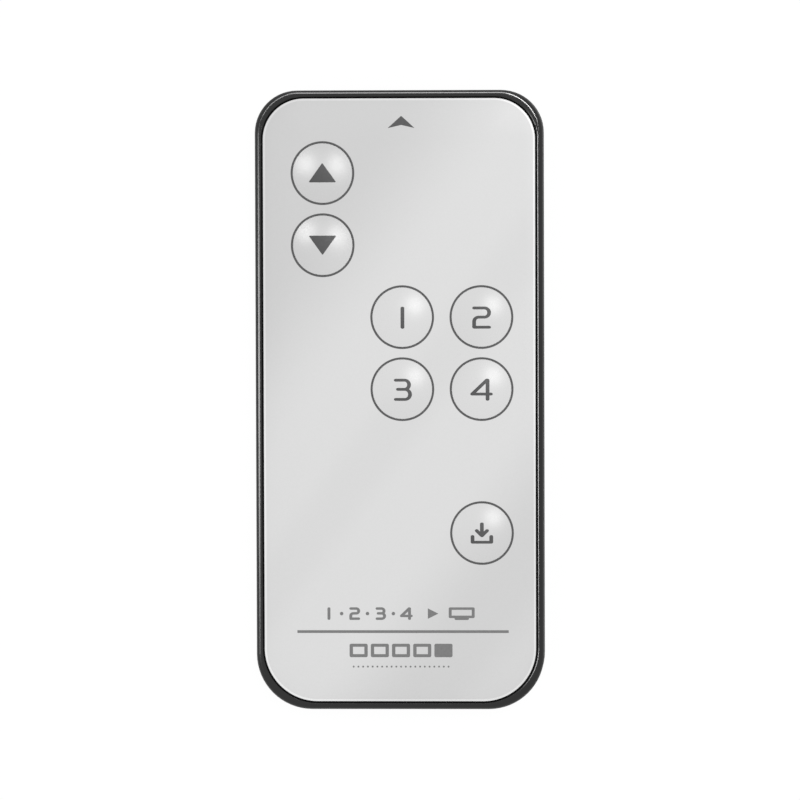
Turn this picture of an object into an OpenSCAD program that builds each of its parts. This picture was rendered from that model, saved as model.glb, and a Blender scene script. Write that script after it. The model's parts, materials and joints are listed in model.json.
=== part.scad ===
// Slim card remote control for a signal selector, in millimetres.
// A one-piece case tray holds a circuit board under a glued front panel with domed keys. An infrared
// emitter looks out of one end and a coin cell rides in a pull-out drawer with a side latch at the other.
// X runs across the remote, Y runs towards the emitter and Z runs up through the keys.
// The origin is on the back face, under the middle of the case.

/* [Case] */
// Width of the case
case_w = 40; // [38:0.5:46]
// Length of the case
case_l = 86; // [84:0.5:100]
// Corner radius at the emitter end
corner_top_r = 5.9; // [5:0.1:7]
// Corner radius at the drawer end
corner_bottom_r = 7.7; // [6:0.1:8.5]
// Thickness of the side walls
wall_t = 1.6; // [1.4:0.1:2]
// Thickness of the floor
floor_t = 1; // [0.8:0.1:1.5]
// Rounding of the rim's outer edge
rim_round = 0.65; // [0.3:0.05:0.7]
// Rounding of the rim's edge beside the panel
rim_inner_round = 0.2; // [0.1:0.05:0.25]
// Rounding of the edge round the back
back_round = 1.4; // [0.6:0.1:1.6]

/* [Front panel] */
// Side of the case to the panel's edge
panel_border = 1.1; // [1.05:0.05:1.4]
// Gap between the panel and the rim
panel_gap = 0.22; // [0.15:0.01:0.3]
// Panel corner radius at the emitter end
panel_top_r = 5.7; // [4.5:0.1:6.5]
// Panel corner radius at the drawer end
panel_bottom_r = 7.4; // [6:0.1:8]
// Thickness of the panel sheet
panel_t = 0.35; // [0.25:0.05:0.5]
// Depth of the panel's face below the rim
panel_sink = 0.25; // [0.1:0.05:0.4]

/* [Keys] */
// Diameter of a key's dome
key_d = 8.3; // [7.5:0.1:8.8]
// Rise of a key's dome above the panel
key_crown = 0.5; // [0.35:0.05:0.8]
// Spacing of the key columns
key_pitch_x = 11; // [10:0.5:12]
// Spacing of the key rows
key_pitch_y = 10; // [9.5:0.5:11]
// Sideways offset of the key columns
key_shift = 0.4; // [-0.5:0.1:0.8]
// Panel's end to the middle of the first key row
key_margin = 10.35; // [9:0.05:12]
// Clearance round a key in the panel
key_clear = 0.05; // [0.03:0.01:0.1]
// Diameter of the stem under a key
stem_d = 2; // [1.5:0.1:2.5]
// Diameter of a snap dome
snap_d = 5.8; // [5:0.1:6.2]
// Rise of a snap dome
snap_rise = 0.3; // [0.2:0.05:0.35]
// Thickness of a snap dome
snap_t = 0.08; // [0.06:0.01:0.1]

/* [Circuit board] */
// Thickness of the board
board_t = 1; // [0.8:0.1:1.6]
// Clearance between the board and the walls
board_clear = 0.15; // [0.1:0.05:0.3]
// Thickness of the sheet that locates the snap domes
locator_t = 0.1; // [0.05:0.05:0.15]
// Thickness of the spacer under the panel
spacer_t = 0.4; // [0.35:0.05:0.6]
// Diameter of a board post
post_d = 3; // [2.4:0.1:3.6]
// Diameter of the pin on a board post
pin_d = 1.2; // [1:0.1:1.6]

/* [Coin cell and drawer] */
// Diameter of the coin cell
cell_d = 20; // [19.5:0.5:23]
// Thickness of the coin cell
cell_t = 2.5; // [2.5:0.1:3.2]
// Clearance round the cell in its pocket
cell_clear = 0.15; // [0.1:0.05:0.3]
// Wall round the cell pocket
drawer_wall = 1.05; // [0.8:0.05:1.5]
// End face to the cell pocket
drawer_front = 3.2; // [2.8:0.1:4]
// Ledge over the rim of the cell
ledge_t = 0.45; // [0.4:0.05:0.8]
// Running clearance of the drawer
drawer_clear = 0.15; // [0.1:0.05:0.2]
// Width of the ribbed finger lip
lip_w = 16; // [10:0.5:18]
// Length of the ribbed finger lip
lip_l = 3; // [2.5:0.1:3.2]
// Thickness of the latch arm
latch_t = 1.1; // [0.9:0.1:1.3]
// Slot between the latch arm and the drawer
latch_slot = 0.75; // [0.65:0.05:1]

/* [Emitter] */
// Diameter of the emitter's body
emitter_d = 3; // [2.5:0.1:3]
// Depth of the lens tip behind the end face
emitter_sink = 0.3; // [0:0.1:0.8]

/* [Hidden] */
$fn = 96;
cut = 0.5;          // how far a cut runs past an outer face
bite = 0.1;         // how far two joined shapes run into each other
slip = 0.03;        // gap between curved faces that seat together

// Heights of the layers, from the back face up, with the play between them
floor_play = 0.1;   // under the drawer
cell_float = 0.05;  // under the cell
cell_play = 0.1;    // between the cell and the drawer's ledge
board_play = 0.3;   // over the drawer
cell_z = floor_t + cell_float;
cell_top = cell_z + cell_t;
ledge_z = cell_top + cell_play;
drawer_z = floor_t + floor_play;
drawer_top = ledge_z + ledge_t;
board_z = drawer_top + board_play;
board_top = board_z + board_t;
spacer_z = board_top + locator_t;
panel_z = spacer_z + spacer_t;
panel_top = panel_z + panel_t;
case_h = panel_top + panel_sink;

// The ends of the case and the panel
end_top = case_l / 2;
end_bottom = -case_l / 2;
panel_w = case_w - 2 * panel_border;
panel_l = case_l - 2 * panel_border;
rim_w = panel_border - panel_gap;
rim_round_fit = min(rim_round, rim_w - rim_inner_round);

// Each key: name, column counted from the middle one, row counted from the first
KEYS = [["up", -1, 0], ["down", -1, 1], ["1", 0, 2], ["2", 1, 2], ["3", 0, 3], ["4", 1, 3], ["store", 1, 5]];
function key_x(key) = key_shift + key[1] * key_pitch_x;
function row_y(row) = panel_l / 2 - key_margin - row * key_pitch_y;
function key_y(key) = row_y(key[2]);

// Radius of a ball whose cap has this base radius and rise
function ball_r(base_r, rise) = (base_r * base_r + rise * rise) / (2 * rise);
key_ball_r = ball_r(key_d / 2, key_crown);
snap_ball_r = ball_r(snap_d / 2, snap_rise);

// Contact pads, and the holes in the sheets above the board
pad_t = 0.03;
pad_ring_w = 0.9;
pad_margin = 0.1;
pad_dot_d = 2.4;
snap_z = board_top + pad_t;
locator_margin = 0.3;
spacer_margin = 0.15;
locator_hole_d = snap_d + 2 * locator_margin;
spacer_hole_d = key_d + 2 * spacer_margin;

// Drawer layout
pocket_r = cell_d / 2 + cell_clear;
cell_y = end_bottom + drawer_front + pocket_r;
drawer_half_w = pocket_r + drawer_wall;
drawer_end_t = 0.9;
drawer_end = cell_y + pocket_r + drawer_end_t;
ledge_w = 2.15;
ledge_hole_r = pocket_r - ledge_w;
contact_gap_half_w = 6.2;
contact_gap_start = 5;
contact_gap_y = cell_y + contact_gap_start;
lip_sink = 0.15;
lip_groove_w = 0.35;
lip_groove_pitch = 0.65;
lip_groove_depth = 0.3;
lip_grooves = floor((lip_l - lip_groove_w) / lip_groove_pitch);
grip_w = 12;
grip_h = 1;
grip_depth = 0.6;

// Latch layout: the arm turns on a round root held in a clip at the drawer's inner end
root_bulge = 0.2;
socket_clear = 0.05;
clip_wall = 0.5;
neck_clear = 0.1;
root_r = latch_t / 2 + root_bulge;
socket_r = root_r + socket_clear;
clip_r = socket_r + clip_wall;
latch_x = drawer_half_w + latch_slot + latch_t / 2;
latch_pivot_y = drawer_end - clip_r;
latch_out = latch_x + clip_r;
latch_in = latch_x - latch_t / 2;
catch_gap = 9;
catch_y = end_bottom + catch_gap;
catch_l = 1.6;
catch_flat = 0.2;
catch_play = 0.1;
notch_depth = 0.4;
guide_t = 1;
guide_x = latch_out + catch_play;
stop_w = 3.2;

// Board posts, clear of the drawer at one end and of the emitter at the other
post_side_gap = 2.6;
post_top_gap = 8.4;
post_drawer_gap = 6.6;
post_x = case_w / 2 - wall_t - post_side_gap;
post_top_y = end_top - wall_t - post_top_gap;
post_bottom_y = drawer_end + post_drawer_gap;
post_places = [for (side = [-1, 1], y = [post_top_y, post_bottom_y]) [side * post_x, y]];
pin_clear = 0.1;

// Emitter layout: it lies midway between the floor and the board
emitter_r = emitter_d / 2;
emitter_z = (floor_t + board_z) / 2;
emitter_tip = end_top - emitter_sink;
emitter_l = 4.8;
emitter_back = emitter_tip - emitter_l;
flange_t = 0.7;
flange_step = 0.15;
emitter_clear = 0.1;
cradle_wall = 1.1;
cradle_start = 2.2;
lead_t = 0.5;
lead_spacing = 2.54;
lead_run = 2.3;
lead_foot = 1.6;

// Pieces under the board: the controller and resonator keep to the third and fourth key rows,
// and the pieces that drive the emitter keep to the posts beside it
blob_r = 4;
blob_rise = 1.1;
blob_x = -6;
blob_place = [blob_x, row_y(3)];
resonator_size = [7, 5, 2.6];
resonator_x = 8;
resonator_place = [resonator_x, row_y(3)];
capacitor_size = [6, 3.2, 2.2];
capacitor_x = 4;
capacitor_gap = 9;
capacitor_place = [capacitor_x, post_top_y - capacitor_gap];
transistor_size = [2.9, 1.3, 1];
transistor_x = -5;
resistor_size = [2, 1.25, 0.5];
resistor_x = -10.5;
driver_gap = 2;
transistor_place = [transistor_x, post_top_y - driver_gap];
resistor_place = [resistor_x, post_top_y - driver_gap];
resistor_pitch = 2.4;
resistors = 3;
foot_w = 0.4;
foot_l = 0.5;
foot_t = 0.15;

// Battery contacts: each is a bent strip soldered under the board behind the drawer
strip_t = 0.2;
strip_w = 2.6;
solder_gap = 4.6;
solder_y = drawer_end + solder_gap;
strip_z = board_z - strip_t / 2;
negative_x = -4;
negative_bend_gap = 1;
negative_bend_y = drawer_end + negative_bend_gap;
negative_reach = 5.2;
negative_touch_y = cell_y + negative_reach;
negative_flat = 1.2;
negative_tip = 1;
negative_lift = 0.3;
positive_bow = 0.8;
positive_flat = 0.4;
positive_slope = 1;

// Coin cell pieces
can_t = 0.25;
can_lip = 0.2;
cap_inset = 1.1;
cap_r = cell_d / 2 - cap_inset;

// Marks sunk into the back
mark_depth = 0.2;
mark_line = 0.5;
mark_ring_r = 6;
mark_plus = 5;
mark_arrow = 2.4;
mark_gap = 1.2;

// Profile of what a rounding takes off an outer corner, with the corner at the origin
module rounding_profile(r) {
  difference() {
    translate([-cut, -cut]) square(r + cut);
    translate([r, r]) circle(r);
  }
}

// Filled outline of a rounded plate with one radius at each end
module plate_outline(w, l, top_r, bottom_r) {
  difference() {
    square([w, l], center = true);
    for (side = [0, 1]) {
      mirror([side, 0]) translate([-w / 2, l / 2]) mirror([0, 1]) rounding_profile(top_r);
      mirror([side, 0]) translate([-w / 2, -l / 2]) rounding_profile(bottom_r);
    }
  }
}

// Case outline moved inwards by a distance
module case_outline(inset) {
  plate_outline(case_w - 2 * inset, case_l - 2 * inset, corner_top_r - inset, corner_bottom_r - inset);
}

// Panel outline moved outwards by a distance
module panel_outline(grow) {
  plate_outline(panel_w + 2 * grow, panel_l + 2 * grow, panel_top_r + grow, panel_bottom_r + grow);
}

// Carries a profile round a plate's edge: its x runs inwards from the edge and its y runs up
module edge_sweep(w, l, top_r, bottom_r) {
  x = w / 2;
  y = l / 2;
  corners = [
    [x - top_r, y - top_r, top_r, 0], [top_r - x, y - top_r, top_r, 90],
    [bottom_r - x, bottom_r - y, bottom_r, 180], [x - bottom_r, bottom_r - y, bottom_r, 270]
  ];
  sides = [
    [x, y - top_r, l - top_r - bottom_r, 0], [top_r - x, y, w - 2 * top_r, 90],
    [-x, bottom_r - y, l - top_r - bottom_r, 180], [x - bottom_r, -y, w - 2 * bottom_r, 270]
  ];
  for (c = corners)
    translate([c[0], c[1], 0]) rotate([0, 0, c[3]])
      rotate_extrude(angle = 90) translate([c[2], 0]) mirror([1, 0]) children();
  for (s = sides)
    translate([s[0], s[1], 0]) rotate([0, 0, s[3]]) rotate([90, 0, 0])
      linear_extrude(s[2]) mirror([1, 0]) children();
}

// Solid outer shape of the case
module case_envelope() {
  difference() {
    linear_extrude(case_h) case_outline(0);
    edge_sweep(case_w, case_l, corner_top_r, corner_bottom_r) {
      translate([0, case_h]) mirror([0, 1]) rounding_profile(rim_round_fit);
    }
    edge_sweep(case_w, case_l, corner_top_r, corner_bottom_r) {
      rounding_profile(back_round);
    }
  }
}

// Box given by its lowest and highest corners
module block(low, high) {
  translate(low) cube(high - low);
}

// Upright cylinder between two heights
module pillar(x, y, r, z0, z1) {
  translate([x, y, z0]) cylinder(r = r, h = z1 - z0);
}

// Cylinder along Y between two stations, on the emitter's axis
module emitter_rod(r, y0, y1) {
  translate([0, y0, emitter_z]) rotate([-90, 0, 0]) cylinder(r = r, h = y1 - y0);
}

// Flat arrow head with its tip on +X
module arrow_head(size) {
  polygon([[size, 0], [0, size * 0.6], [0, -size * 0.6]]);
}

// Openings in the end wall and floor for the drawer and its latch
module drawer_openings() {
  mouth_y = end_bottom + corner_bottom_r;
  lip_end = end_bottom + lip_l + drawer_clear;
  lip_half_w = lip_w / 2 + drawer_clear;
  block([-drawer_half_w - drawer_clear, end_bottom - cut, floor_t],
        [latch_out + catch_play, mouth_y, drawer_top + drawer_clear]);
  block([-lip_half_w, end_bottom - cut, -cut], [lip_half_w, lip_end, floor_t + bite]);
  block([latch_in - latch_slot, end_bottom - cut, -cut],
        [latch_out + catch_play, lip_end, floor_t + bite]);
}

// Marks on the back: the cell with its polarity, the way the drawer pulls and the way the latch is pressed
module back_marks() {
  arrow_y = end_bottom + lip_l + drawer_clear + mark_gap;
  translate([0, 0, -cut]) linear_extrude(mark_depth + cut) {
    translate([0, cell_y]) {
      difference() {
        circle(mark_ring_r);
        circle(mark_ring_r - mark_line);
      }
      square([mark_plus, mark_line], center = true);
      square([mark_line, mark_plus], center = true);
    }
    translate([0, arrow_y + mark_arrow]) rotate(-90) arrow_head(mark_arrow);
    translate([latch_x + mark_arrow / 2, arrow_y + mark_arrow / 2]) rotate(180) arrow_head(mark_arrow);
  }
}

// Rails and stops that guide the drawer, standing on the floor and carrying the board
module drawer_guides() {
  wall_y = end_bottom + wall_t - bite;
  low = floor_t - bite;
  block([-drawer_half_w - drawer_clear - guide_t, wall_y, low],
        [-drawer_half_w - drawer_clear, drawer_end, board_z]);
  difference() {
    block([guide_x, wall_y, low], [guide_x + guide_t, drawer_end, board_z]);
    translate([guide_x, catch_y, drawer_z]) linear_extrude(drawer_top - drawer_z)
      polygon([[-bite, -catch_l], [notch_depth, 0], [notch_depth, catch_l / 2], [-bite, catch_l / 2]]);
  }
  for (side = [-1, 1])
    translate([side * (contact_gap_half_w + drawer_half_w) / 2, drawer_end + drawer_clear, 0])
      block([-stop_w / 2, 0, low], [stop_w / 2, guide_t, board_z]);
}

// Case tray: floor, walls and rim in one moulding, with the posts and guides inside
module case_tray() color([0.2, 0.2, 0.21]) {
  difference() {
    union() {
      difference() {
        case_envelope();
        translate([0, 0, panel_z]) linear_extrude(panel_t + panel_sink + cut) panel_outline(panel_gap);
        edge_sweep(panel_w + 2 * panel_gap, panel_l + 2 * panel_gap,
                   panel_top_r + panel_gap, panel_bottom_r + panel_gap)
          translate([0, case_h]) rotate(180) rounding_profile(rim_inner_round);
        translate([0, 0, floor_t]) linear_extrude(panel_z - floor_t) case_outline(wall_t);
        drawer_openings();
        back_marks();
      }
      drawer_guides();
      for (p = post_places) {
        pillar(p[0], p[1], post_d / 2, floor_t - bite, board_z);
        pillar(p[0], p[1], pin_d / 2, board_z - bite, board_top - bite);
      }
      block([-emitter_r - cradle_wall, emitter_back + cradle_start, floor_t - bite],
            [emitter_r + cradle_wall, end_top - wall_t + bite, emitter_z]);
    }
    emitter_rod(emitter_r + emitter_clear, emitter_back - cut, end_top + cut);
  }
}

// Front panel: a thin sheet with a round hole for each key
module front_panel() color([0.83, 0.83, 0.84]) {
  difference() {
    translate([0, 0, panel_z]) linear_extrude(panel_t) panel_outline(0);
    for (key = KEYS)
      pillar(key_x(key), key_y(key), key_d / 2 + key_clear, panel_z - cut, panel_top + cut);
  }
}

// One key: a thin dome with a short stem that stands on its snap dome
module key_dome(key) color([0.86, 0.86, 0.87]) {
  stem_z = snap_z + snap_rise + slip;
  shell_r = key_ball_r - panel_t;
  ball_z = panel_top + key_crown - key_ball_r;
  translate([key_x(key), key_y(key), 0]) {
    difference() {
      intersection() {
        pillar(0, 0, key_d / 2, panel_z, panel_top + key_crown + cut);
        translate([0, 0, ball_z]) sphere(key_ball_r);
      }
      difference() {
        intersection() {
          pillar(0, 0, key_d / 2 - panel_t, panel_z - cut, panel_top + key_crown);
          translate([0, 0, ball_z]) sphere(shell_r);
        }
        pillar(0, 0, stem_d / 2, panel_z - 2 * cut, panel_top + key_crown);
      }
    }
    pillar(0, 0, stem_d / 2, stem_z, panel_z + bite);
  }
}

// Spacer sheet under the panel, with a clear hole under each key
module spacer_sheet() color([0.92, 0.91, 0.86]) {
  difference() {
    translate([0, 0, spacer_z]) linear_extrude(spacer_t) case_outline(wall_t + board_clear);
    for (key = KEYS)
      pillar(key_x(key), key_y(key), spacer_hole_d / 2, spacer_z - cut, panel_z + cut);
  }
}

// Locator sheet on the board, with a hole that holds each snap dome
module locator_sheet() color([0.95, 0.95, 0.97]) {
  difference() {
    translate([0, 0, board_top]) linear_extrude(locator_t) case_outline(wall_t + board_clear);
    for (key = KEYS)
      pillar(key_x(key), key_y(key), locator_hole_d / 2, board_top - cut, spacer_z + cut);
  }
}

// One snap dome: a shallow sprung cap that clicks when its key is pressed
module snap_dome(key) color([0.75, 0.75, 0.77]) {
  translate([key_x(key), key_y(key), snap_z])
    rotate_extrude()
      intersection() {
        translate([0, snap_rise - snap_ball_r]) difference() {
          circle(snap_ball_r, $fn = 720);
          circle(snap_ball_r - snap_t, $fn = 720);
        }
        square([snap_d / 2 + cut, snap_rise + cut]);
      }
}

// Circuit board with a hole for each locating pin
module circuit_board() color([0.15, 0.4, 0.2]) {
  difference() {
    translate([0, 0, board_z]) linear_extrude(board_t) case_outline(wall_t + board_clear);
    for (p = post_places)
      pillar(p[0], p[1], pin_d / 2 + pin_clear, board_z - cut, board_top + cut);
  }
}

// Contact pads on the board: a ring under each snap dome's edge and a dot under its middle
module contact_pads() color([0.85, 0.7, 0.3]) {
  for (key = KEYS) {
    difference() {
      pillar(key_x(key), key_y(key), snap_d / 2 + pad_margin, board_top, snap_z);
      pillar(key_x(key), key_y(key), snap_d / 2 + pad_margin - pad_ring_w, board_top - cut, snap_z + cut);
    }
    pillar(key_x(key), key_y(key), pad_dot_d / 2, board_top, snap_z);
  }
}

// Controller chip under a dome of potting resin
module controller_blob() color([0.06, 0.06, 0.06]) {
  ball = ball_r(blob_r, blob_rise);
  translate([blob_place[0], blob_place[1], board_z - blob_rise + ball])
    intersection() {
      sphere(ball);
      translate([0, 0, -ball]) cylinder(r = blob_r + cut, h = blob_rise);
    }
}

// A block hanging under the board, with its low corner at a place
module under_board(place, size) {
  translate([place[0], place[1], board_z - size[2]]) cube(size);
}

// Ceramic resonator that sets the code's carrier, with its two pins
module resonator() color([0.85, 0.55, 0.1]) {
  under_board(resonator_place, resonator_size);
  for (share = [0.2, 0.8])
    under_board(resonator_place + [share * resonator_size[0] - foot_w / 2, -2 * foot_l],
                [foot_w, 2 * foot_l + bite, foot_t]);
}

// Reservoir capacitor that carries the emitter's pulses
module reservoir_capacitor() color([0.75, 0.6, 0.2]) {
  under_board(capacitor_place, capacitor_size);
}

// Driver transistor for the emitter, with two feet on one side and one on the other
module driver_transistor() color([0.1, 0.1, 0.1]) {
  under_board(transistor_place, transistor_size);
  for (foot = [[0.2, -foot_l], [0.8, -foot_l], [0.5, transistor_size[1] - bite]])
    under_board(transistor_place + [foot[0] * transistor_size[0] - foot_w / 2, foot[1]],
                [foot_w, foot_l + bite, foot_t]);
}

// Chip resistors beside the transistor
module chip_resistors() color([0.12, 0.12, 0.14]) {
  for (i = [0:resistors - 1])
    under_board(resistor_place - [0, i * resistor_pitch], resistor_size);
}

// Emitter: a clear round body with a domed lens and a flange at its back
module emitter() color([0.85, 0.88, 0.95, 0.6]) {
  lens_y = emitter_tip - emitter_r;
  emitter_rod(emitter_r, emitter_back, lens_y);
  translate([0, lens_y, emitter_z]) intersection() {
    sphere(emitter_r);
    rotate([-90, 0, 0]) translate([0, 0, -bite]) cylinder(r = emitter_r, h = emitter_r + bite + cut);
  }
  emitter_rod(emitter_r + flange_step, emitter_back, emitter_back + flange_t);
}

// Emitter leads: back from the flange, up to the board and along it
module emitter_leads() color([0.7, 0.7, 0.72]) {
  bend_y = emitter_back - lead_run;
  for (side = [-1, 1])
    translate([side * lead_spacing / 2 - lead_t / 2, 0, 0]) {
      block([0, bend_y, emitter_z - lead_t / 2], [lead_t, emitter_back, emitter_z + lead_t / 2]);
      block([0, bend_y, emitter_z - lead_t / 2], [lead_t, bend_y + lead_t, board_z]);
      block([0, bend_y - lead_foot, board_z - lead_t], [lead_t, bend_y + lead_t, board_z]);
    }
}

// Bent strip of spring metal: its centre line runs through points given as [y, z]
module contact_strip(points) {
  half = strip_t / 2;
  for (i = [0:len(points) - 2]) {
    run = points[i + 1] - points[i];
    translate([0, points[i][0], points[i][1]]) rotate([atan2(run[1], run[0]), 0, 0])
      translate([-strip_w / 2, 0, -half]) cube([strip_w, norm(run), strip_t]);
  }
  for (p = points)
    translate([-strip_w / 2, p[0], p[1]]) rotate([0, 90, 0]) cylinder(d = strip_t, h = strip_w);
}

// Negative contact: from the board down to the cell's cap
module negative_contact() color([0.8, 0.78, 0.7]) {
  touch_z = cell_top + strip_t / 2 + slip;
  flat_end = negative_touch_y - negative_flat;
  translate([negative_x, 0, 0]) contact_strip([
    [solder_y, strip_z], [negative_bend_y, strip_z], [negative_touch_y, touch_z],
    [flat_end, touch_z], [flat_end - negative_tip, touch_z + negative_lift]
  ]);
}

// Positive contact: from the board down to the side of the cell's can
module positive_contact() color([0.8, 0.78, 0.7]) {
  touch_y = cell_y + cell_d / 2 + strip_t / 2 + slip;
  back_y = touch_y + positive_bow;
  touch_z = cell_z + cell_t / 2;
  contact_strip([
    [solder_y, strip_z], [back_y, strip_z], [back_y, touch_z + positive_flat / 2 + positive_slope],
    [touch_y, touch_z + positive_flat / 2], [touch_y, touch_z - positive_flat / 2],
    [back_y, touch_z - positive_flat / 2 - positive_slope]
  ]);
}

// Cell can: the positive cup that faces the back
module cell_can() color([0.78, 0.78, 0.8]) {
  difference() {
    pillar(0, cell_y, cell_d / 2, cell_z, cell_top - can_lip);
    pillar(0, cell_y, cell_d / 2 - can_t, cell_z + can_t, cell_top + cut);
  }
}

// Cell gasket: the ring that seals the cap in the can
module cell_gasket() color([0.15, 0.15, 0.16]) {
  difference() {
    pillar(0, cell_y, cell_d / 2 - can_t - slip, cell_z + can_t, cell_top - can_lip / 2);
    pillar(0, cell_y, cap_r + slip, cell_z, cell_top + cut);
  }
}

// Cell cap: the negative face that looks at the board
module cell_cap() color([0.72, 0.72, 0.74]) {
  pillar(0, cell_y, cap_r, cell_z + can_t, cell_top);
}

// Clip at the drawer's inner end that holds the latch arm's round root
module latch_clip() {
  difference() {
    union() {
      pillar(latch_x, latch_pivot_y, clip_r, drawer_z, drawer_top);
      block([drawer_half_w - bite, latch_pivot_y, drawer_z], [latch_x, drawer_end, drawer_top]);
    }
    pillar(latch_x, latch_pivot_y, socket_r, drawer_z - cut, drawer_top + cut);
    block([latch_in - neck_clear, latch_pivot_y - clip_r - cut, drawer_z - cut],
          [latch_in + latch_t + neck_clear, latch_pivot_y, drawer_top + cut]);
  }
}

// Battery drawer: a frame round the cell with a ledge over its rim and a finger lip in front
module battery_drawer() color([0.19, 0.19, 0.2]) {
  front_y = end_bottom - cut;
  lip_y = end_bottom + lip_l;
  difference() {
    intersection() {
      case_envelope();
      union() {
        block([-drawer_half_w, front_y, drawer_z], [drawer_half_w, drawer_end, drawer_top]);
        block([-lip_w / 2, front_y, lip_sink], [lip_w / 2, lip_y, drawer_z + bite]);
      }
    }
    pillar(0, cell_y, pocket_r, -cut, ledge_z);
    pillar(0, cell_y, ledge_hole_r, ledge_z - cut, drawer_top + cut);
    block([-contact_gap_half_w, contact_gap_y, -cut],
          [contact_gap_half_w, drawer_end + cut, drawer_top + cut]);
    block([-grip_w / 2, front_y, (drawer_z + drawer_top - grip_h) / 2],
          [grip_w / 2, end_bottom + grip_depth, (drawer_z + drawer_top + grip_h) / 2]);
    for (i = [1:lip_grooves])
      translate([-lip_w / 2 - cut, end_bottom + i * lip_groove_pitch, -cut])
        cube([lip_w + 2 * cut, lip_groove_w, cut + lip_sink + lip_groove_depth]);
  }
  latch_clip();
}

// Drawer latch: an arm beside the drawer with a catch on its side and a tab at its free end
module drawer_latch() color([0.19, 0.19, 0.2]) {
  catch_out = latch_out - latch_in - latch_t;
  pillar(latch_x, latch_pivot_y, root_r, drawer_z, drawer_top);
  intersection() {
    case_envelope();
    union() {
      block([latch_in, end_bottom - cut, drawer_z], [latch_in + latch_t, latch_pivot_y, drawer_top]);
      block([latch_in, end_bottom - cut, drawer_z], [latch_out, end_bottom + wall_t, drawer_top]);
      block([latch_in, end_bottom - cut, lip_sink], [latch_out, end_bottom + lip_l, drawer_z + bite]);
      translate([latch_in + latch_t, catch_y, drawer_z]) linear_extrude(drawer_top - drawer_z)
        polygon([[-bite, -catch_l], [catch_out, -catch_flat], [catch_out, 0], [-bite, 0]]);
    }
  }
}

case_tray();
front_panel();
spacer_sheet();
locator_sheet();
circuit_board();
contact_pads();
controller_blob();
resonator();
reservoir_capacitor();
driver_transistor();
chip_resistors();
emitter();
emitter_leads();
negative_contact();
positive_contact();
cell_can();
cell_gasket();
cell_cap();
battery_drawer();
drawer_latch();
for (key = KEYS) {
  key_dome(key);
  snap_dome(key);
}
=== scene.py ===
"""Looks of a slim card remote control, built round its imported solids.

Everything is in metres and in the frame of the solids: X runs across the remote, Y runs towards its
emitter and Z runs up through its keys. Drawings of printed marks are in millimetres and are scaled when
they are laid.
"""

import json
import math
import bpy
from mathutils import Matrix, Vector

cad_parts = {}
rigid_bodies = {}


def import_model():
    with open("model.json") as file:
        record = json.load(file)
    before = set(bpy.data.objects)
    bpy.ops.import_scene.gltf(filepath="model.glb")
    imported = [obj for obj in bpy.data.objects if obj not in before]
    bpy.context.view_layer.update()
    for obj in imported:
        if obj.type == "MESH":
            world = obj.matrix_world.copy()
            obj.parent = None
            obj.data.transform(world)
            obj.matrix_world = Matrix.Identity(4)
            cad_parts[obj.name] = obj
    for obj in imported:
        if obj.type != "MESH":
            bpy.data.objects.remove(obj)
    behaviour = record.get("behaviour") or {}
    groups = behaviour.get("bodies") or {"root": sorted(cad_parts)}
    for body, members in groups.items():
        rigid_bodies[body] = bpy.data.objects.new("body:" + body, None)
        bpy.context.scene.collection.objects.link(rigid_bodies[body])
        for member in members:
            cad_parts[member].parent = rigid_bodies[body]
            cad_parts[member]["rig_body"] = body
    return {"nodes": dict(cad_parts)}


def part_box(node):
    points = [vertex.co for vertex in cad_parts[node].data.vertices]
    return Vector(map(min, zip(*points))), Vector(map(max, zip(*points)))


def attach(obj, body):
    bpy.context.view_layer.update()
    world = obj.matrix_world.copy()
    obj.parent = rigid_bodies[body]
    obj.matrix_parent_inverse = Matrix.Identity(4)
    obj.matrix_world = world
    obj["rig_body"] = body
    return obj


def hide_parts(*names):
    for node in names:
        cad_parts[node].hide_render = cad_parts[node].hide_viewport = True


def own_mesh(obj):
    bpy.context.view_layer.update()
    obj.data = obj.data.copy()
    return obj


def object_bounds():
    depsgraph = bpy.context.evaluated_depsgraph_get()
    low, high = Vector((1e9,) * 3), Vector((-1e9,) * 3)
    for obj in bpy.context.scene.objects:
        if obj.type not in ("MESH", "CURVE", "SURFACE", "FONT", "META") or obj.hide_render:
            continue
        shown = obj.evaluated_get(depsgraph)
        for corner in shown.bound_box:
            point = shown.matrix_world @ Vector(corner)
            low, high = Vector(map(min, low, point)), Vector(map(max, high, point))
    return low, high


bl_info = {
    "name": "Card Remote Looks",
    "version": (1, 0, 0),
    "blender": (4, 5, 0),
    "location": "View3D > Sidebar > Remote",
    "description": "Gives the solids of a card remote control their film, keys, print and finishes",
    "category": "Object",
}

import bmesh
import bpy
from bpy.props import FloatProperty, FloatVectorProperty, IntProperty, PointerProperty
from mathutils import Matrix, Vector
from mathutils.geometry import delaunay_2d_cdt

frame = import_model()
CAD_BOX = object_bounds()
NODES = frame["nodes"]
KEY_NODES = [name for name in NODES if name.startswith("key_")]
SNAP_NODES = [name for name in NODES if name.startswith("snap_dome_")]
PANEL_LOW, PANEL_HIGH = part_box("front_panel")
KEY_LOW, KEY_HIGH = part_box(KEY_NODES[0])

MM = 0.001
QUARTER_TURN = math.pi / 2
ARC_STEP = 10
CAP_STEPS = 8
ROUND_STEPS = 96
CORNER_STEPS = 24
SMOOTH_ANGLE = math.radians(35)
MERGE_DISTANCE = 1e-5
NOISE_RANGE = (0.25, 0.75)
FLOAT = "NodeSocketFloat"
COLOR = "NodeSocketColor"
VECTOR = "NodeSocketVector"


# Settings


def length_setting(name, description, millimetres):
    """A length, given in millimetres."""
    default = millimetres * MM
    return FloatProperty(name=name, description=description, default=default, unit="LENGTH", precision=6)


def colour_setting(name, description, default):
    """A colour."""
    return FloatVectorProperty(name=name, description=description, default=default, subtype="COLOR")


def place_setting(name, lamp, default):
    """The place of a lamp."""
    description = "Place of the " + lamp
    return FloatVectorProperty(name=name, description=description, default=default, subtype="TRANSLATION")


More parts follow.
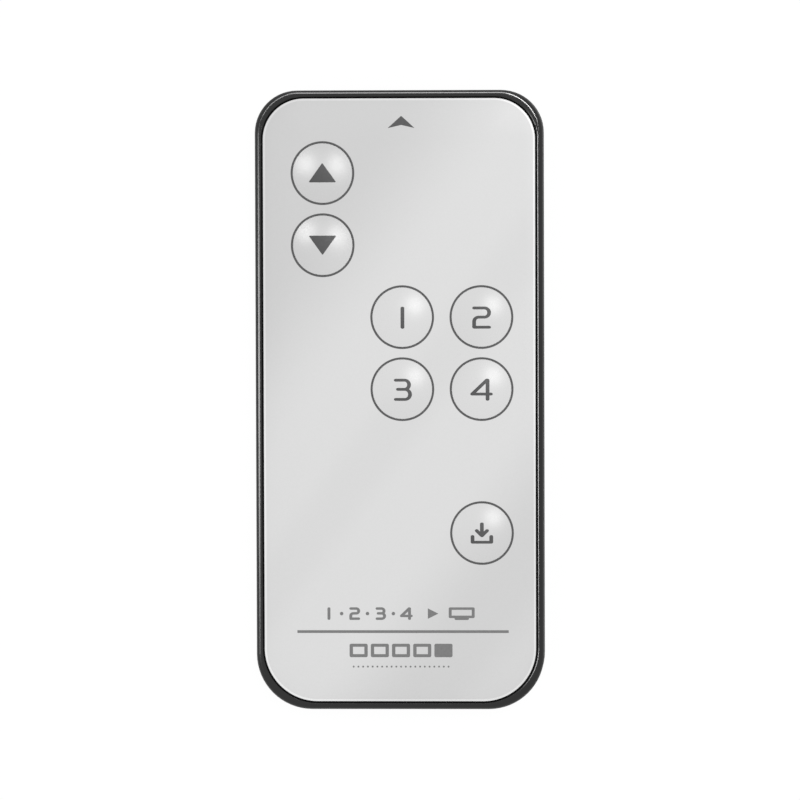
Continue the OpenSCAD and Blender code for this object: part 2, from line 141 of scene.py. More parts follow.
def power_setting(name, lamp, watts):
    """The power of a lamp."""
    description = "Power of the " + lamp
    return FloatProperty(name=name, description=description, default=watts, unit="POWER", precision=4)


class CaseSettings(bpy.types.PropertyGroup):
    """Finish of the tray, the drawer and the latch"""

    plastic: colour_setting("Plastic", "Colour of the case", (0.0025, 0.0025, 0.0026))
    grain_size: length_setting("Grain size", "Size of the moulded grain", 0.12)
    grain_depth: length_setting("Grain depth", "Depth of the moulded grain", 0.006)
    polish_height: length_setting("Polish height", "Height above which the rim is polished", 6.2)


class FilmSettings(bpy.types.PropertyGroup):
    """Silver film of the panel and the keys"""

    silver: colour_setting("Silver", "Colour of the film", (0.71, 0.71, 0.71))
    # Lighter than the film: a painted highlight along the bevelled edge, which also catches real light
    edge_highlight_silver: colour_setting("Edge silver", "Colour of the panel's bright edge", (0.88, 0.88, 0.88))
    edge_width: length_setting("Edge width", "Width of the bright edge round the panel", 0.28)
    edge_drop: length_setting("Edge drop", "How far the bright edge slopes down", 0.03)
    trim: length_setting("Trim", "How far the film stops short of its solid's edge", 0.03)
    top_radius: length_setting("Top corner radius", "Corner radius of the panel at the emitter end", 5.7)
    bottom_radius: length_setting("Bottom corner radius", "Corner radius of the panel at the drawer end", 7.4)
    key_clearance: length_setting("Key clearance", "Gap round a key", 0.05)
    stem_diameter: length_setting("Stem diameter", "Diameter of the stem under a key", 2)


class PrintSettings(bpy.types.PropertyGroup):
    """Ink on the panel and the keys"""

    ink: colour_setting("Ink", "Colour of the print", (0.06, 0.06, 0.061))
    row_ink: colour_setting("Row ink", "Colour of the signs under the keys", (0.17, 0.17, 0.17))
    thickness: length_setting("Ink thickness", "Height of the print over the film", 0.012)
    ring_width: length_setting("Ring width", "Width of the ring round a key", 0.22)
    pen_width: length_setting("Pen width", "Width of an upright stroke", 0.52)
    pen_height: length_setting("Pen height", "Height of a level stroke", 0.39)


class StageSettings(bpy.types.PropertyGroup):
    """View and light"""

    view_distance: length_setting("View distance", "Camera to the middle of the panel", 900)
    view_width: length_setting("View width", "Width of the view at the panel", 111.02)
    view_tilt: FloatVectorProperty(
        name="View tilt",
        description="Turn of the remote about X, Y and Z as the camera sees it",
        subtype="EULER",
        default=(math.radians(2.5), math.radians(-2.55), math.radians(0.072)),
    )
    view_shift: FloatVectorProperty(
        name="View shift",
        description="Camera's place to the right of the panel's middle and above it",
        size=2,
        subtype="TRANSLATION",
        default=(0.065 * MM, 0.051 * MM),
    )
    sky_level: FloatProperty(
        name="Sky level",
        description="Strength of the even light from all round",
        default=0.82,
    )
    shadow_share: FloatProperty(
        name="Shadow share",
        description="How much of the floor's white takes the shadow",
        default=0.06,
        subtype="FACTOR",
    )
    right_lamp: place_setting("Right lamp", "large lamp at the upper right", (0.205, 0.215, 1.2))
    right_power: power_setting("Right power", "large lamp at the upper right", 2.7)
    left_lamp: place_setting("Left lamp", "small lamp that the arrow keys reflect", (-0.064, 0.054, 0.156))
    left_power: power_setting("Left power", "small lamp that the arrow keys reflect", 0.062)
    pair_lamp: place_setting("Pair lamp", "large lamp that the arrow keys reflect", (0.26, 0.05, 1.2))
    pair_power: power_setting("Pair power", "large lamp that the arrow keys reflect", 0.85)
    side_lamp: place_setting("Side lamp", "low lamp that lines the left rim", (-0.33, -0.021, 0.5))
    side_power: power_setting("Side power", "low lamp that lines the left rim", 1.35)
    end_lamp: place_setting("End lamp", "low lamp that lines the emitter end", (-0.003, 0.1069, 0.0546))
    end_power: power_setting("End power", "low lamp that lines the emitter end", 0.004)
    rim_lamp: place_setting("Rim lamp", "narrow lamp that lines the right rim", (-0.02, 0.019, 0.05))
    rim_power: power_setting("Rim power", "narrow lamp that lines the right rim", 0.0215)
    corner_right_lamp: place_setting("Right strip", "strip for the right corner", (0.0247, 0.0655, 0.0465))
    corner_right_power: power_setting("Right strip power", "strip for the right corner", 0.034)
    corner_left_lamp: place_setting("Left strip", "strip for the left corner", (-0.029, 0.0675, 0.0465))
    corner_left_power: power_setting("Left strip power", "strip for the left corner", 0.0105)


class InnerSettings(bpy.types.PropertyGroup):
    """Pieces inside the case"""

    board: colour_setting("Board", "Colour of the solder mask", (0.02, 0.13, 0.045))
    copper: colour_setting("Pads", "Colour of the plated pads", (0.83, 0.62, 0.25))
    steel: colour_setting("Steel", "Colour of the cell and the springs", (0.5, 0.5, 0.49))
    traces: IntProperty(name="Traces", description="Rows of traces along the board", default=34)


# Shader nodes and shared shader groups


def add_node(tree, kind, links=None, **values):
    """Adds a node. Values are its properties, and links say by index or name what feeds its sockets."""
    node = tree.nodes.new(kind)
    for key, value in values.items():
        setattr(node, key, value)
    for socket, source in (links or {}).items():
        if isinstance(source, bpy.types.NodeSocket):
            tree.links.new(source, node.inputs[socket])
        else:
            node.inputs[socket].default_value = source
    return node


def maths(tree, operation, *values):
    """Result of a sum or a comparison."""
    return add_node(tree, "ShaderNodeMath", dict(enumerate(values)), operation=operation).outputs[0]


def map_range(tree, value, source, low, high, **options):
    """A value moved from a source range to lie between low and high."""
    links = {0: value, 1: source[0], 2: source[1], 3: low, 4: high}
    return add_node(tree, "ShaderNodeMapRange", links, **options).outputs[0]


def scaled(tree, vector, factor):
    """A vector or colour times a factor."""
    links = {0: vector, "Scale": factor}
    return add_node(tree, "ShaderNodeVectorMath", links, operation="SCALE").outputs[0]


def noise(tree, position, scale, detail):
    """Soft noise over a position."""
    links = {"Vector": position, "Scale": scale, "Detail": detail}
    return add_node(tree, "ShaderNodeTexNoise", links).outputs[0]


def piece_position(tree):
    """Position on the piece."""
    return add_node(tree, "ShaderNodeTexCoord").outputs["Object"]


def sized_position(tree, size):
    """Position on the piece, counted in steps of a size."""
    return scaled(tree, piece_position(tree), maths(tree, "DIVIDE", 1.0, size))


def shader_group(name, inputs, outputs):
    """New shader group with named sockets, and its input and output nodes."""
    group = bpy.data.node_groups.new(name, "ShaderNodeTree")
    for label, kind, default in inputs:
        socket = group.interface.new_socket(label, in_out="INPUT", socket_type=kind)
        socket.default_value = default
    for label, kind in outputs:
        group.interface.new_socket(label, in_out="OUTPUT", socket_type=kind)
    return group, group.nodes.new("NodeGroupInput"), group.nodes.new("NodeGroupOutput")


def fine_grain_group():
    """Moulded or printed grain: its height, and slower speckles."""
    outputs = [("Height", FLOAT), ("Speckle", FLOAT)]
    group, given, out = shader_group("Fine Grain", [("Size", FLOAT, 0.2 * MM)], outputs)
    position = sized_position(group, given.outputs["Size"])
    group.links.new(noise(group, position, 1.0, 2.0), out.inputs["Height"])
    group.links.new(noise(group, position, 0.37, 3.0), out.inputs["Speckle"])
    return group


def tone_drift_group():
    """A colour that drifts a little lighter and darker over the surface."""
    inputs = [("Color", COLOR, (0.5, 0.5, 0.5, 1)), ("Amount", FLOAT, 0.05), ("Size", FLOAT, 10 * MM)]
    group, given, out = shader_group("Tone Drift", inputs, [("Color", COLOR)])
    clouds = noise(group, sized_position(group, given.outputs["Size"]), 1.0, 3.0)
    low = maths(group, "SUBTRACT", 1.0, given.outputs["Amount"])
    high = maths(group, "ADD", 1.0, given.outputs["Amount"])
    gain = map_range(group, clouds, NOISE_RANGE, low, high)
    group.links.new(scaled(group, given.outputs["Color"], gain), out.inputs["Color"])
    return group


def film_sheen_paint_group():
    """The film's silver, with soft darker and lighter bands across its diagonal: painted sheen and shade,
    standing in for how light falls on satin film.
    """
    diagonal = (-0.8, 0.6, 0.0)
    # Painted sheen and shade: each band lightens or darkens the silver along the diagonal
    bands = [
        ("Upper Shade", (9 * MM, 25 * MM), 0.85),
        ("Middle Shade", (4 * MM, -0.5 * MM), 0.965),
        ("Middle Lift", (-2.5 * MM, -7 * MM), 1.036),
        ("Lower Shade", (-14 * MM, -26 * MM), 0.88),
        ("Corner Lift", (-29 * MM, -35 * MM), 1.05),
    ]
    inputs = [("Color", COLOR, (0.7, 0.7, 0.7, 1))] + [(label, FLOAT, shade) for label, _, shade in bands]
    group, given, out = shader_group("Film Tone", inputs, [("Color", COLOR)])
    links = {0: piece_position(group), 1: diagonal}
    across = add_node(group, "ShaderNodeVectorMath", links, operation="DOT_PRODUCT").outputs["Value"]
    colour = given.outputs["Color"]
    for label, stretch, _ in bands:
        shade = map_range(group, across, stretch, 1.0, given.outputs[label], interpolation_type="SMOOTHSTEP")
        colour = scaled(group, colour, shade)
    group.links.new(colour, out.inputs["Color"])
    return group


def brushed_lines_group():
    """Fine lines left by rolling or drawing metal, as height and streaks."""
    inputs = [("Size", FLOAT, 0.1 * MM), ("Stretch", VECTOR, (1.0, 0.03, 1.0))]
    group, given, out = shader_group("Brushed Lines", inputs, [("Height", FLOAT), ("Streak", FLOAT)])
    links = {0: sized_position(group, given.outputs["Size"]), 1: given.outputs["Stretch"]}
    drawn = add_node(group, "ShaderNodeVectorMath", links, operation="MULTIPLY").outputs[0]
    group.links.new(noise(group, drawn, 1.0, 3.0), out.inputs["Height"])
    group.links.new(noise(group, drawn, 0.3, 2.0), out.inputs["Streak"])
    return group


def rim_polish_group():
    """Mask that rises from 0 to 1 over a short height, for a rim that is polished smooth."""
    inputs = [("Height", FLOAT, 6 * MM), ("Fade", FLOAT, 0.2 * MM)]
    group, given, out = shader_group("Rim Polish", inputs, [("Mask", FLOAT)])
    parts = add_node(group, "ShaderNodeSeparateXYZ", {0: piece_position(group)})
    end = given.outputs["Height"]
    start = maths(group, "SUBTRACT", end, given.outputs["Fade"])
    mask = map_range(group, parts.outputs[2], (start, end), 0.0, 1.0, interpolation_type="SMOOTHSTEP")
    group.links.new(mask, out.inputs["Mask"])
    return group


GROUP_MAKERS = {
    "Fine Grain": fine_grain_group,
    "Tone Drift": tone_drift_group,
    "Film Tone": film_sheen_paint_group,
    "Brushed Lines": brushed_lines_group,
    "Rim Polish": rim_polish_group,
}


def place_group(tree, name, links):
    """Places a shared group in a material, making it the first time."""
    group = bpy.data.node_groups.get(name) or GROUP_MAKERS[name]()
    return add_node(tree, "ShaderNodeGroup", links, node_tree=group)


# Materials


def opaque(colour):
    """A colour with full alpha."""
    return (*colour, 1.0)


def plain_material(name, sockets):
    """New material with constant values on its shader, and the shader."""
    material = bpy.data.materials.new(name)
    material.use_nodes = True
    shader = material.node_tree.nodes["Principled BSDF"]
    for socket, value in sockets.items():
        shader.inputs[socket].default_value = value
    return material, shader


def add_relief(tree, shader, height, depth):
    """Gives a shader the relief of a height."""
    bump = add_node(tree, "ShaderNodeBump", {"Height": height, "Strength": 1.0, "Distance": depth})
    tree.links.new(bump.outputs[0], shader.inputs["Normal"])


def add_gloss(tree, shader, pattern, low, high):
    """Gives a shader a roughness that follows a noise between two values."""
    tree.links.new(map_range(tree, pattern, NOISE_RANGE, low, high), shader.inputs["Roughness"])


def add_drift(material, shader, colour, amount, size):
    """Gives a material a base colour that drifts over the surface."""
    drift = place_group(material.node_tree, "Tone Drift", {"Color": colour, "Amount": amount, "Size": size})
    material.node_tree.links.new(drift.outputs[0], shader.inputs["Base Color"])
    return drift


def add_grain(material, shader, grain_size, grain_depth, rough, rough_spread):
    """Gives a material a fine grain in its relief and its gloss."""
    tree = material.node_tree
    grain = place_group(tree, "Fine Grain", {"Size": grain_size})
    add_relief(tree, shader, grain.outputs["Height"], grain_depth)
    add_gloss(tree, shader, grain.outputs["Speckle"], rough - rough_spread, rough + rough_spread)


def grained(name, colour, grain, rough, drift=(0.05, 6 * MM), **sockets):
    """Solid material, from its grain's size and depth, roughness and spread, and drift's amount and size."""
    material, shader = plain_material(name, {label.replace("_", " "): v for label, v in sockets.items()})
    add_grain(material, shader, *grain, *rough)
    add_drift(material, shader, opaque(colour), *drift)
    return material


def ink_material(name, colour):
    """Screen ink with a slightly uneven coat."""
    return grained(name, colour, grain=(0.1 * MM, 0.0012 * MM), rough=(0.42, 0.05), drift=(0.09, 0.35 * MM))


def case_plastic(settings):
    """Dark moulded plastic: sides with a spark-eroded grain, and a polished rim."""
    side_rough, side_spread = 0.6, 0.06
    rim_rough, rim_spread = 0.16, 0.008
    side_grain, rim_grain = 1.0, 0.015
    drift = (0.12, 0.5 * MM)
    material, shader = plain_material("Case plastic", {"Specular IOR Level": 0.42})
    tree = material.node_tree
    grain = place_group(tree, "Fine Grain", {"Size": settings.grain_size})
    rim = place_group(tree, "Rim Polish", {"Height": settings.polish_height}).outputs["Mask"]
    depth = map_range(tree, rim, (0.0, 1.0), side_grain, rim_grain)
    relief = maths(tree, "MULTIPLY", grain.outputs["Height"], depth)
    add_relief(tree, shader, relief, settings.grain_depth)
    low = map_range(tree, rim, (0.0, 1.0), side_rough - side_spread, rim_rough - rim_spread)
    high = map_range(tree, rim, (0.0, 1.0), side_rough + side_spread, rim_rough + rim_spread)
    add_gloss(tree, shader, grain.outputs["Speckle"], low, high)
    add_drift(material, shader, opaque(settings.plastic), *drift)
    return material


def film_material(name, colour, rough, grain_depth):
    """Satin silver film: painted sheen and shade bands, fine speckle and a soft gloss."""
    grain_size, rough_spread = 0.12 * MM, 0.02
    drift = (0.012, 0.22 * MM)
    material, shader = plain_material(name, {"Specular IOR Level": 0.5})
    add_grain(material, shader, grain_size, grain_depth, rough, rough_spread)
    speckled = add_drift(material, shader, opaque(colour), *drift).outputs[0]
    # Painted sheen and shade in diagonal bands over the speckled silver
    tone = place_group(material.node_tree, "Film Tone", {"Color": speckled})
    material.node_tree.links.new(tone.outputs[0], shader.inputs["Base Color"])
    return material


def metal_material(name, colour, line_size, stretch, rough, depth):
    """Rolled or drawn metal with fine lines."""
    rough_spread = 0.08
    drift = (0.06, 3 * MM)
    material, shader = plain_material(name, {"Metallic": 1.0})
    tree = material.node_tree
    lines = place_group(tree, "Brushed Lines", {"Size": line_size, "Stretch": stretch})
    add_relief(tree, shader, lines.outputs["Height"], depth)
    add_gloss(tree, shader, lines.outputs["Streak"], rough - rough_spread, rough + rough_spread)
    add_drift(material, shader, opaque(colour), *drift)
    return material


def capped_material(name, node, body_colour, end_colour, metal_ends=False):
    """Body of a component, with plated or marked ends along X."""
    end_share = 0.3
    grain, rough = (0.08 * MM, 0.002 * MM), (0.42, 0.06)
    drift = {"Color": opaque(body_colour), "Amount": 0.08, "Size": 0.6 * MM}
    low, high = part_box(node)
    material, shader = plain_material(name, {})
    tree = material.node_tree
    add_grain(material, shader, *grain, *rough)
    parts = add_node(tree, "ShaderNodeSeparateXYZ", {0: piece_position(tree)})
    offset = maths(tree, "SUBTRACT", parts.outputs[0], (low.x + high.x) / 2)
    half_body = (high.x - low.x) * (0.5 - end_share / 2)
    mask = maths(tree, "GREATER_THAN", maths(tree, "ABSOLUTE", offset), half_body)
    body = place_group(tree, "Tone Drift", drift).outputs[0]
    mix = add_node(tree, "ShaderNodeMix", {0: mask, 6: body, 7: opaque(end_colour)}, data_type="RGBA")
    tree.links.new(mix.outputs[2], shader.inputs["Base Color"])
    if metal_ends:
        tree.links.new(mask, shader.inputs["Metallic"])
    return material


def board_material(settings):
    """Green solder mask with lighter traces under it."""
    grain, rough, drift = (0.3 * MM, 0.003 * MM), (0.3, 0.05), (0.1, 4 * MM)
    dim, lit = 0.8, 1.9
    material, shader = plain_material("Solder mask", {"Specular IOR Level": 0.5})
    tree = material.node_tree
    add_grain(material, shader, *grain, *rough)
    traces = {
        "Vector": piece_position(tree),
        "Scale": settings.traces / (CAD_BOX[1].y - CAD_BOX[0].y),
        "Mortar Size": 0.08,
        "Mortar Smooth": 0.2,
        "Brick Width": 2.4,
        "Row Height": 1.0,
        "Color1": opaque(settings.board),
        "Color2": opaque([dim * part for part in settings.board]),
        "Mortar": opaque([min(1.0, lit * part) for part in settings.board]),
    }
    bricks = add_node(tree, "ShaderNodeTexBrick", traces, offset=0.37, squash=1.6, squash_frequency=3)
    add_drift(material, shader, bricks.outputs[0], *drift)
    return material


def lens_material():
    """Clear cast resin of the emitter, a little smoky."""
    tint = (0.86, 0.9, 0.97)
    grain, rough, drift = (0.6 * MM, 0.0001 * MM), (0.04, 0.02), (0.03, 1.0 * MM)
    clear = {"Transmission Weight": 1.0, "IOR": 1.5, "Metallic": 0.0}
    material, shader = plain_material("Emitter resin", clear)
    add_grain(material, shader, *grain, *rough)
    add_drift(material, shader, opaque(tint), *drift)
    return material


def dress(node, material):
    """Gives a solid a finish in place of its plain one."""
    mesh = NODES[node].data
    mesh.materials.clear()
    mesh.materials.append(material)


# Mesh tools


def new_piece(name, bm, node, slot, *materials):
    """Turns a mesh under construction into a smooth piece that rides with a solid."""
    bmesh.ops.recalc_face_normals(bm, faces=bm.faces)
    mesh = bpy.data.meshes.new(name)
    bm.to_mesh(mesh)
    bm.free()
    mesh.shade_smooth()
    mesh.set_sharp_from_angle(angle=SMOOTH_ANGLE)
    for material in materials:
        mesh.materials.append(material)
    piece = bpy.data.objects.new(name, mesh)
    bpy.context.scene.collection.objects.link(piece)
    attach(piece, body_of(node))
    return piece


def stand_in(name, bm, node, slot, *materials):
    """Finer piece in place of a solid."""
    piece = new_piece(name, bm, node, slot, *materials)
    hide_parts(node)
    return piece


def body_of(node):
    """Name of the body that a solid rides on."""
    return NODES[node]["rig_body"]


def middle_of(node, height):
    """Middle of a solid as seen from above, at a height."""
    low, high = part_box(node)
    return Vector(((low.x + high.x) / 2, (low.y + high.y) / 2, height))


def radius_of(node):
    """Half the width of a solid."""
    low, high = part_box(node)
    return (high.x - low.x) / 2


def bridge(bm, first, second, material_index=0):
    """Faces between two closed loops of as many points."""
    count = len(first)
    for i in range(count):
        j = (i + 1) % count
        face = bm.faces.new((first[i], first[j], second[j], second[i]))
        face.material_index = material_index


def lathe(profile, centre, turn=None):
    """Mesh turned about an upright axis, which a turn can lay over.

    Its profile is a list of radii and heights that closes on itself or at the axis.
    """
    bm = bmesh.new()
    angles = [math.tau * i / ROUND_STEPS for i in range(ROUND_STEPS)]
    rings = []
    for radius, height in profile:
        if radius <= 0:
            rings.append([bm.verts.new((0, 0, height))])
            continue
        rings.append([bm.verts.new((radius * math.cos(a), radius * math.sin(a), height)) for a in angles])
    pairs = list(zip(rings, rings[1:]))
    if len(rings[0]) > 1 and len(rings[-1]) > 1:
        pairs.append((rings[-1], rings[0]))
    for first, second in pairs:
        if len(first) == 1 and len(second) == 1:
            continue
        if len(first) > 1 and len(second) > 1:
            bridge(bm, first, second)
            continue
        pole, ring = (first, second) if len(first) == 1 else (second, first)
        for i in range(ROUND_STEPS):
            bm.faces.new((pole[0], ring[i], ring[(i + 1) % ROUND_STEPS]))
    place = Matrix.Translation(centre) @ (turn or Matrix.Identity(4))
    bmesh.ops.transform(bm, matrix=place, verts=bm.verts)
    return bm


def arc(radius, centre, start, end, steps):
    """Points of an arc between two angles in degrees, its ends among them."""
    points = []
    for i in range(steps + 1):
        angle = math.radians(start + (end - start) * i / steps)
        points.append((centre[0] + radius * math.cos(angle), centre[1] + radius * math.sin(angle)))
    return points


def plate_loop(width, length, top_radius, bottom_radius, inset=0.0):
    """Outline of a rounded plate, anticlockwise, moved inwards by an inset."""
    corners = [
        (1, 1, top_radius, 0),
        (-1, 1, top_radius, 90),
        (-1, -1, bottom_radius, 180),
        (1, -1, bottom_radius, 270),
    ]
    loop = []
    for side, end, radius, start in corners:
        centre = (side * (width / 2 - radius), end * (length / 2 - radius))
        loop += arc(radius - inset, centre, start, start + 90, CORNER_STEPS)
    return loop


def circle_loop(radius, centre, steps=ROUND_STEPS):
    """Outline of a circle, anticlockwise."""
    return arc(radius, centre, 0, 360, steps)[:-1]


def anticlockwise(loop):
    """The same outline, turned to run anticlockwise."""
    area = sum(a[0] * b[1] - b[0] * a[1] for a, b in zip(loop, loop[1:] + loop[:1]))
    return loop if area > 0 else loop[::-1]


def cover(outlines, cutouts=(), spacing=None):
    """Triangles over the joined outlines, less the cutouts: points, faces and each input point's index."""
    points, loops = [], []
    for loop in [*outlines, *cutouts]:
        loop = anticlockwise(list(loop))
        loops.append(list(range(len(points), len(points) + len(loop))))
        points += [Vector(p) for p in loop]
    if spacing:
        low = [min(p[i] for p in points) for i in (0, 1)]
        high = [max(p[i] for p in points) for i in (0, 1)]
        steps = [int((high[i] - low[i]) / spacing) for i in (0, 1)]
        grid = [(i, j) for i in range(1, steps[0] + 1) for j in range(1, steps[1] + 1)]
        points += [Vector((low[0] + i * spacing, low[1] + j * spacing)) for i, j in grid]
    found = delaunay_2d_cdt(points, [], loops, 0, MERGE_DISTANCE)
    filled = range(len(outlines))
    faces = [f for f, owners in zip(found[2], found[5]) if owners and all(i in filled for i in owners)]
    index = {}
    for new, olds in enumerate(found[3]):
        for old in olds:
            index[old] = new
    return found[0], faces, index


def fine_loop(loop, spacing):
    """The same outline, with points no further apart than a spacing."""
    fine = []
    for a, b in zip(loop, loop[1:] + loop[:1]):
        steps = max(1, math.ceil(math.dist(a, b) / spacing))
        fine += [(a[0] + (b[0] - a[0]) * i / steps, a[1] + (b[1] - a[1]) * i / steps) for i in range(steps)]
    return fine


def laid_solid(outlines, height, thickness, origin, spacing=None):
    """Thin solid of ink, drawn in millimetres about an origin and laid on a surface of given height."""
    if spacing:
        outlines = [fine_loop(list(loop), spacing) for loop in outlines]
    points, faces, _ = cover(outlines, spacing=spacing)
    bm = bmesh.new()
    layers = []
    for lift in (thickness, -thickness):
        layer = {}
        for i in sorted({i for face in faces for i in face}):
            x = origin[0] + points[i].x * MM
            y = origin[1] + points[i].y * MM
            layer[i] = bm.verts.new((x, y, height(x, y) + lift))
        layers.append(layer)
    top, bottom = layers
    edges = {}
    for face in faces:
        bm.faces.new([top[i] for i in face])
        bm.faces.new([bottom[i] for i in reversed(face)])
        for a, b in zip(face, face[1:] + face[:1]):
            edges[(a, b)] = True
    for a, b in edges:
        if (b, a) not in edges:
            bm.faces.new((top[b], top[a], bottom[a], bottom[b]))
    return bm


# Drawings of the printed marks, in millimetres


def pen_route(start, heading, moves):
    """Points and headings along a path. A move is a length with no turn, or the radius and turn of an arc."""
    x, y = start
    angle = math.radians(heading)
    route = [(x, y, angle)]
    for size, turn in moves:
        if turn == 0:
            x += size * math.cos(angle)
            y += size * math.sin(angle)
            route.append((x, y, angle))
            continue
        steps = max(2, round(abs(turn) / ARC_STEP))
        reach = math.copysign(size, turn)
        centre = (x - reach * math.sin(angle), y + reach * math.cos(angle))
        for _ in range(steps):
            angle += math.radians(turn) / steps
            x = centre[0] + reach * math.sin(angle)
            y = centre[1] - reach * math.cos(angle)
            route.append((x, y, angle))
    return route


def pen_line(start, end):
    """Straight path between two points."""
    run = (end[0] - start[0], end[1] - start[1])
    return pen_route(start, math.degrees(math.atan2(run[1], run[0])), [(math.hypot(*run), 0)])


def pen_outline(route, pen):
    """Outline of the stroke that an oval pen leaves along a path."""
    outline = []

    def put(x, y, angle):
        reach = (pen[0] / 2 * math.cos(angle), pen[1] / 2 * math.sin(angle))
        length = math.hypot(*reach)
        outline.append((x + pen[0] / 2 * reach[0] / length, y + pen[1] / 2 * reach[1] / length))

    for path, turn in ((route, -QUARTER_TURN), (route[::-1], QUARTER_TURN)):
        for x, y, angle in path:
            put(x, y, angle + turn)
        x, y, angle = path[-1]
        for i in range(1, CAP_STEPS):
            put(x, y, angle + turn + math.pi * i / CAP_STEPS)
    return outline


def digit_routes(digit, scale=1.0):
    """Pen paths of a plain digit from 1 to 4, about the middle of its key."""
    left, right, top, foot = -1.0, 1.08, 1.27, -1.4
    bowl, low_bowl, bend = top / 2, -foot / 2, 0.62
    three_left, three_right, waist, overlap = -0.9, 0.95, -0.3, 0.6
    one_x, stem_x, bar_y, reach, lean = 0.06, 0.84, -0.67, 1.3, 0.1
    down = [(top - foot, 0)]
    run = right - bowl - left
    two = [(run, 0), (bowl, -180), (run - bend, 0), (bend, 90), (-foot - bend, 0)]
    run = three_right - bowl
    three_top = [(run - three_left, 0), (bowl, -180), (run + overlap, 0)]
    three_foot = [(right - waist - low_bowl, 0), (low_bowl, -180), (right - low_bowl - three_left, 0)]
    routes = {
        "1": [((one_x, top), -90, down)],
        "2": [((left, top), 0, two), ((left, foot), 0, [(right - left, 0)])],
        "3": [((three_left, top), 0, three_top), ((waist, 0), 0, three_foot)],
        "4": [((stem_x, top), -90, down), ((-reach, bar_y), 0, [(2 * reach, 0)])],
    }
    found = [pen_route(*route) for route in routes[digit]]
    if digit == "4":
        found.append(pen_line((-reach, bar_y), (stem_x - lean, top)))
    return [[(x * scale, y * scale, angle) for x, y, angle in route] for route in found]


def store_routes():
    """Pen paths of the store sign: an arrow that points down into a tray."""
    tray_w, tray_top, tray_foot = 1.3, -0.45, -1.25
    top, tip, head = 1.3, -0.35, 0.72
    return [
        pen_line((0, top), (0, tip)),
        pen_line((-head, tip + head), (0, tip)),
        pen_line((head, tip + head), (0, tip)),
        pen_line((-tray_w, tray_top), (-tray_w, tray_foot)),
        pen_line((-tray_w, tray_foot), (tray_w, tray_foot)),
        pen_line((tray_w, tray_foot), (tray_w, tray_top)),
    ]


def soft_corners(points, radius):
    """An outline with its corners rounded."""
    loop = anticlockwise(list(points))
    soft = []
    for before, corner, after in zip(loop[-1:] + loop, loop, loop[1:] + loop[:1]):
        came = math.atan2(corner[1] - before[1], corner[0] - before[0])
        goes = math.atan2(after[1] - corner[1], after[0] - corner[0])
        turn = (goes - came + math.pi) % math.tau - math.pi
        back = radius * abs(math.tan(turn / 2))
        start = (corner[0] - back * math.cos(came), corner[1] - back * math.sin(came))
        soft += [(x, y) for x, y, _ in pen_route(start, math.degrees(came), [(radius, math.degrees(turn))])]
    return soft


def arrow_outline(half_width, base, tip, notch=None, corner=0.1):
    """Solid arrow head along Y, with its base notched towards the tip if a notch is given."""
    points = [(half_width, base), (0, tip), (-half_width, base)]
    if notch is not None:
        points.append((0, notch))
    return soft_corners(points, corner)


def box_corners(width, height):
    """Corners of a box about the origin."""
    x, y = width / 2, height / 2
    return [(-x, -y), (x, -y), (x, y), (-x, y)]


def box_routes(width, height):
    """Pen paths along the sides of a box about the origin."""
    corners = box_corners(width, height)
    return [pen_line(a, b) for a, b in zip(corners, corners[1:] + corners[:1])]


def moved(outline, x, y=0.0):
    """An outline moved to a place."""
    return [(px + x, py + y) for px, py in outline]


def key_legend(name, pen):
    """Outlines of the mark on a key."""
    if name == "key_up":
        return [arrow_outline(half_width=1.93, base=-1.28, tip=1.42)]
    if name == "key_down":
        return [arrow_outline(half_width=1.93, base=1.34, tip=-1.36)]
    routes = store_routes() if name == "key_store" else digit_routes(name[-1])
    return [pen_outline(route, pen) for route in routes]


def input_row(pen):
    """Outlines of the row over the line: four numbered inputs, an arrow and a screen."""
    start, pitch, scale, digit_y = -10.4, 3.6, 0.53, 0.03
    dot_r, dot_steps = 0.24, 24
    arrow_back, arrow_tip, arrow_half = -0.6, 0.85, 0.72
    screen_gap, screen_w, screen_h, screen_y = 4.1, 3.2, 1.15, 0.12
    foot_half, foot_y = 0.8, -0.72
    outlines = []
    for i, digit in enumerate("1234"):
        x = start + i * pitch
        outlines += [moved(pen_outline(route, pen), x, digit_y) for route in digit_routes(digit, scale)]
        if i < 3:
            outlines.append(circle_loop(dot_r, (x + pitch / 2, 0), dot_steps))
    arrow_x = start + 4 * pitch
    outlines.append(moved([(arrow_back, -arrow_half), (arrow_tip, 0), (arrow_back, arrow_half)], arrow_x))
    screen_x = arrow_x + screen_gap
    for route in box_routes(screen_w, screen_h):
        outlines.append(moved(pen_outline(route, pen), screen_x, screen_y))
    foot = pen_line((-foot_half, 0), (foot_half, 0))
    outlines.append(moved(pen_outline(foot, pen), screen_x, foot_y))
    return outlines


def socket_row(pen):
    """Outlines of the row under the line: four open sockets and a filled one."""
    count, pitch, width, height = 5, 2.95, 2.05, 1.45
    places = [(i - (count - 1) / 2) * pitch for i in range(count)]
    outlines = []
    for x in places:
        outlines += [moved(pen_outline(route, pen), x) for route in box_routes(width, height)]
    outlines.append(moved(box_corners(width, height), places[-1]))
    return outlines


def dot_row(count, pitch, radius, steps=16):
    """Outlines of a row of dots about the origin."""
    return [circle_loop(radius, ((i - (count - 1) / 2) * pitch, 0), steps) for i in range(count)]


# Key shapes


def key_middle(name):
    """Middle of a key, at the height of the panel's face."""
    return middle_of(name, PANEL_HIGH.z)


def key_radius():
    """Radius of a key."""
    return (KEY_HIGH.x - KEY_LOW.x) / 2


def dome_height(distance, thickness=0.0):
    """Height of a key's face, or of a shell under it, at a distance from the key's middle."""
    rise = KEY_HIGH.z - PANEL_HIGH.z
    ball = (key_radius() ** 2 + rise**2) / (2 * rise)
    return KEY_HIGH.z - ball + math.sqrt((ball - thickness) ** 2 - distance**2)


def dome_over(middle):
    """Height of a key's face over any place, for a key with a given middle."""
    return lambda x, y: dome_height(math.hypot(x - middle.x, y - middle.y))


# Operators


